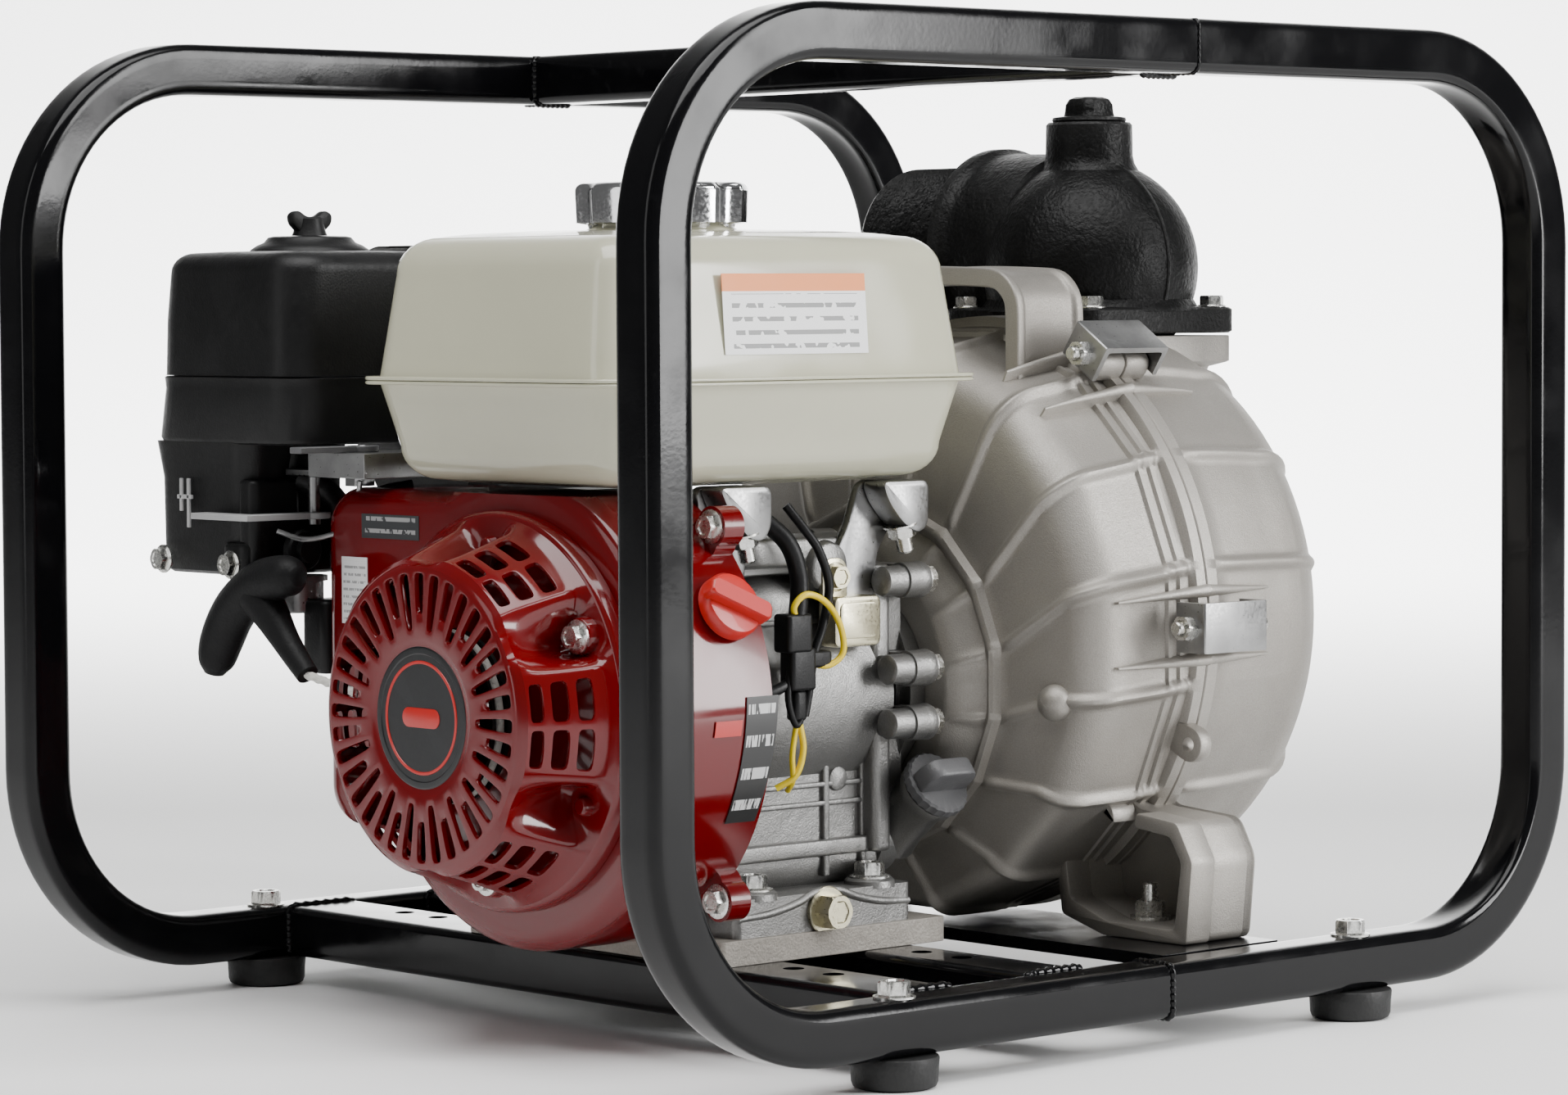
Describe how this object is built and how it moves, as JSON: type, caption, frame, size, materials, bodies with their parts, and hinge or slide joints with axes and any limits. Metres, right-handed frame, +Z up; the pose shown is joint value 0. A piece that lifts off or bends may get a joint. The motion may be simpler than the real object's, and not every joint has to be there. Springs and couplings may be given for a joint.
{
  "type": "portable fire pump",
  "caption": "Engine-driven self-priming centrifugal water pump in a square-tube roll frame, with recoil starter, cream fuel tank, black air cleaner and a threaded discharge elbow.",
  "frame": {"origin": "middle of the footprint, on the plane that the rubber feet stand on", "axes": "+X along the crankshaft from the recoil starter to the pump, +Y towards the air cleaner, the muffler and the mouth of the discharge, +Z up"},
  "size_m": [0.6048, 0.5062, 0.4766],
  "materials": {
    "frame_paint": "gloss black powder coat",
    "rubber": "matte black",
    "zinc": "zinc plated, fine grain",
    "steel": "turned steel",
    "cast_alu": "as cast, fine sand texture",
    "plate_alu": "coarse sand-cast",
    "iron_black": "black stoved cast iron",
    "cast_iron": "bare cast iron",
    "red_paint": "gloss red enamel",
    "red_plastic": "moulded red",
    "cream_paint": "gloss cream enamel",
    "chrome": "chrome plated pressing",
    "black_plastic": "fine grained black",
    "grey_plastic": "light grey moulded",
    "copper_coil": "varnished laminations",
    "foam": "open-cell foam",
    "rope": "braided",
    "dark_steel": "heat-resisting black paint"
  },
  "bodies": {
    "pump_set": {"adapter_plate": "plate_alu", "air_cleaner_base": "black_plastic", "air_cleaner_cover": "black_plastic", "carburettor": "cast_alu", "clamp_bolts": "zinc", "clamp_brackets": "zinc", "connecting_rod": "cast_alu", "control_bracket": "zinc", "crankcase": "cast_alu", "crankcase_side_cover": "cast_alu", "cylinder_head": "cast_alu", "discharge_elbow": "iron_black", "elbow_bolts": "zinc", "engine_bolts": "zinc", "fan_cover": "red_paint", "filter_element": "foam", "foot_bolts": "zinc", "fuel_tank_lower": "cream_paint", "fuel_tank_upper": "cream_paint", "hoop_far": "frame_paint", "hoop_near": "frame_paint", "ignition_coil": "copper_coil", "ignition_leads": "black_plastic", "main_bearings": "steel", "mechanical_seal": "steel", "muffler": "dark_steel", "muffler_guard": "dark_steel", "oil_alert_box": "black_plastic", "piston": "cast_alu", "pump_cross_plate": "frame_paint", "pump_front_cover": "cast_alu", "pump_rear_cover": "cast_alu", "pump_side_rail": "frame_paint", "recoil_badge": "black_plastic", "recoil_housing": "red_paint", "recoil_side_rail": "frame_paint", "rubber_feet": "rubber", "spark_plug": "steel", "suction_port": "iron_black", "tank_brackets": "zinc", "top_cross_tube": "frame_paint", "valve_cover": "dark_steel", "volute": "cast_iron"},
    "rotor": {"crankshaft": "steel", "flywheel": "cast_iron", "starter_cup": "zinc", "impeller": "cast_iron"},
    "reel": {"recoil_reel": "black_plastic", "starter_rope": "rope"},
    "pull_grip": {"recoil_handle": "black_plastic"},
    "choke": {"choke_lever": "grey_plastic"},
    "fuel_tap": {"fuel_valve_lever": "black_plastic"},
    "throttle": {"throttle_lever": "dark_steel"},
    "engine_switch": {"engine_switch_knob": "red_plastic"},
    "tank_cap": {"fuel_cap": "chrome"},
    "oil_cap": {"oil_filler_cap": "grey_plastic"},
    "cleaner_knob": {"air_cleaner_knob": "black_plastic"},
    "prime_plug": {"priming_plug": "iron_black"},
    "drain_plug": {"pump_drain_plug": "iron_black"},
    "flap": {"check_flap": "rubber"}
  },
  "joints": [
    {"name": "crank_spin", "type": "hinge", "parent": "pump_set", "child": "rotor", "pos_m": [-0.085, -0.04, 0.159], "axis": [1, 0, 0], "continuous": true},
    {"name": "starter_pull", "type": "slide", "parent": "pump_set", "child": "pull_grip", "axis": [-0.14, 0.9902, 0], "range_m": [0, 0.5]},
    {"name": "reel_spin", "type": "hinge", "parent": "pump_set", "child": "reel", "pos_m": [-0.2495, -0.04, 0.159], "axis": [1, 0, 0], "range_deg": [0, 850]},
    {"name": "choke_turn", "type": "hinge", "parent": "pump_set", "child": "choke", "pos_m": [-0.205, 0.118, 0.2445], "axis": [0, 0, 1], "range_deg": [0, 40]},
    {"name": "fuel_tap_turn", "type": "hinge", "parent": "pump_set", "child": "fuel_tap", "pos_m": [-0.1847, 0.12, 0.222], "axis": [1, 0, 0], "range_deg": [0, 90]},
    {"name": "throttle_turn", "type": "hinge", "parent": "pump_set", "child": "throttle", "pos_m": [-0.206, 0.078, 0.2777], "axis": [0, 0, 1], "range_deg": [0, 40]},
    {"name": "engine_switch_turn", "type": "hinge", "parent": "pump_set", "child": "engine_switch", "pos_m": [-0.17, -0.1408, 0.20783], "axis": [0, -0.9, 0.436], "range_deg": [0, 60]},
    {"name": "tank_cap_turn", "type": "hinge", "parent": "pump_set", "child": "tank_cap", "pos_m": [-0.118, -0.04, 0.395], "axis": [0, 0, 1], "range_deg": [0, 90]},
    {"name": "oil_cap_turn", "type": "hinge", "parent": "pump_set", "child": "oil_cap", "pos_m": [-0.009, -0.1093, 0.11346], "axis": [0, -0.8, 0.6], "range_deg": [0, 180]},
    {"name": "cleaner_knob_turn", "type": "hinge", "parent": "pump_set", "child": "cleaner_knob", "pos_m": [-0.18, 0.153, 0.386], "axis": [0, 0, 1], "range_deg": [0, 180]},
    {"name": "prime_plug_turn", "type": "hinge", "parent": "pump_set", "child": "prime_plug", "pos_m": [0.171, -0.04, 0.43], "axis": [0, 0, 1], "range_deg": [0, 180]},
    {"name": "drain_plug_turn", "type": "hinge", "parent": "pump_set", "child": "drain_plug", "pos_m": [0.19, -0.04, 0.056], "axis": [0, 0, -1], "range_deg": [0, 180]},
    {"name": "flap_swing", "type": "hinge", "parent": "pump_set", "child": "flap", "pos_m": [0.2055, -0.04, 0.2305], "axis": [0, 1, 0], "range_deg": [0, 60]}
  ],
  "couplings": [
    {"joint": "reel_spin", "follows": "starter_pull", "rad_per_m": 29.4}
  ]
}
